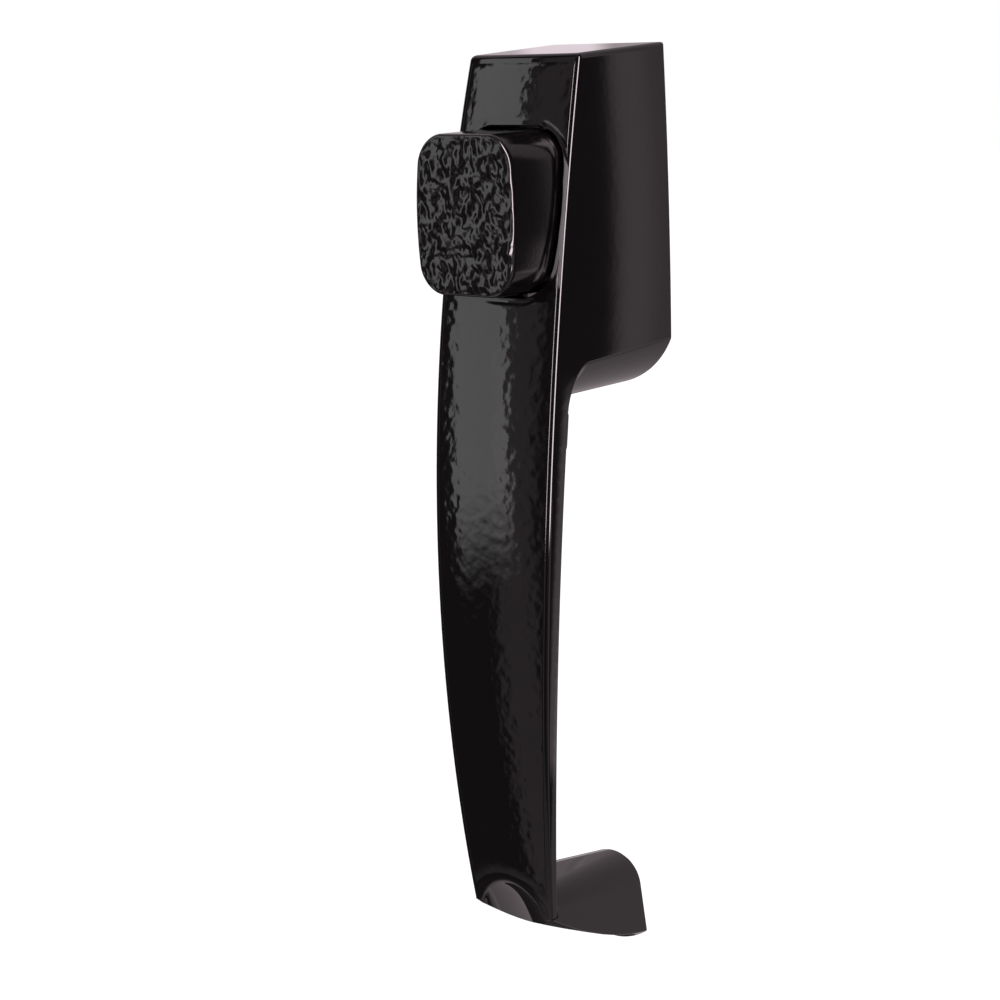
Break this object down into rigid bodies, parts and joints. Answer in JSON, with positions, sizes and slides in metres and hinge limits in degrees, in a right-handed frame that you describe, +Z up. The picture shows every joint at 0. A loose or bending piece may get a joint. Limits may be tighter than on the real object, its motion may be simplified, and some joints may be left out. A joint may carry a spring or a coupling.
{
  "type": "screen door latch",
  "caption": "Outside half of a screen door latch: a bowed black pull grip between a case with a push button and a small foot, with spring, retainer and adjusting screw.",
  "frame": {"origin": "on the door's face, on the push button's axis, midway between the two mounting screws", "axes": "+X to the right seen from the front, +Y into the door, +Z up; the front faces -Y"},
  "size_m": [0.028, 0.0538, 0.1732],
  "materials": {
    "black_enamel": "gloss, with a fine leather grain on the front",
    "button_enamel": "gloss, with a coarse leather grain on the face",
    "zinc_plate": "zinc plated",
    "spring_steel": "drawn wire"
  },
  "bodies": {
    "handle": {"handle_body": "black_enamel", "return_spring": "spring_steel", "retainer_plate": "zinc_plate", "plate_screw_upper": "zinc_plate", "plate_screw_lower": "zinc_plate"},
    "button": {"push_button": "button_enamel", "retaining_ring": "spring_steel"},
    "adjuster": {"adjusting_screw": "zinc_plate"}
  },
  "joints": [
    {"name": "button_press", "type": "slide", "parent": "handle", "child": "button", "axis": [0, 1, 0], "range_m": [0, 0.007], "stiffness_N_per_m": 600, "springref_m": -0.008, "deforming": ["return_spring"]},
    {"name": "adjuster_slide", "type": "slide", "parent": "button", "child": "adjuster", "axis": [0, 1, 0], "range_m": [-0.004, 0.004]}
  ]
}
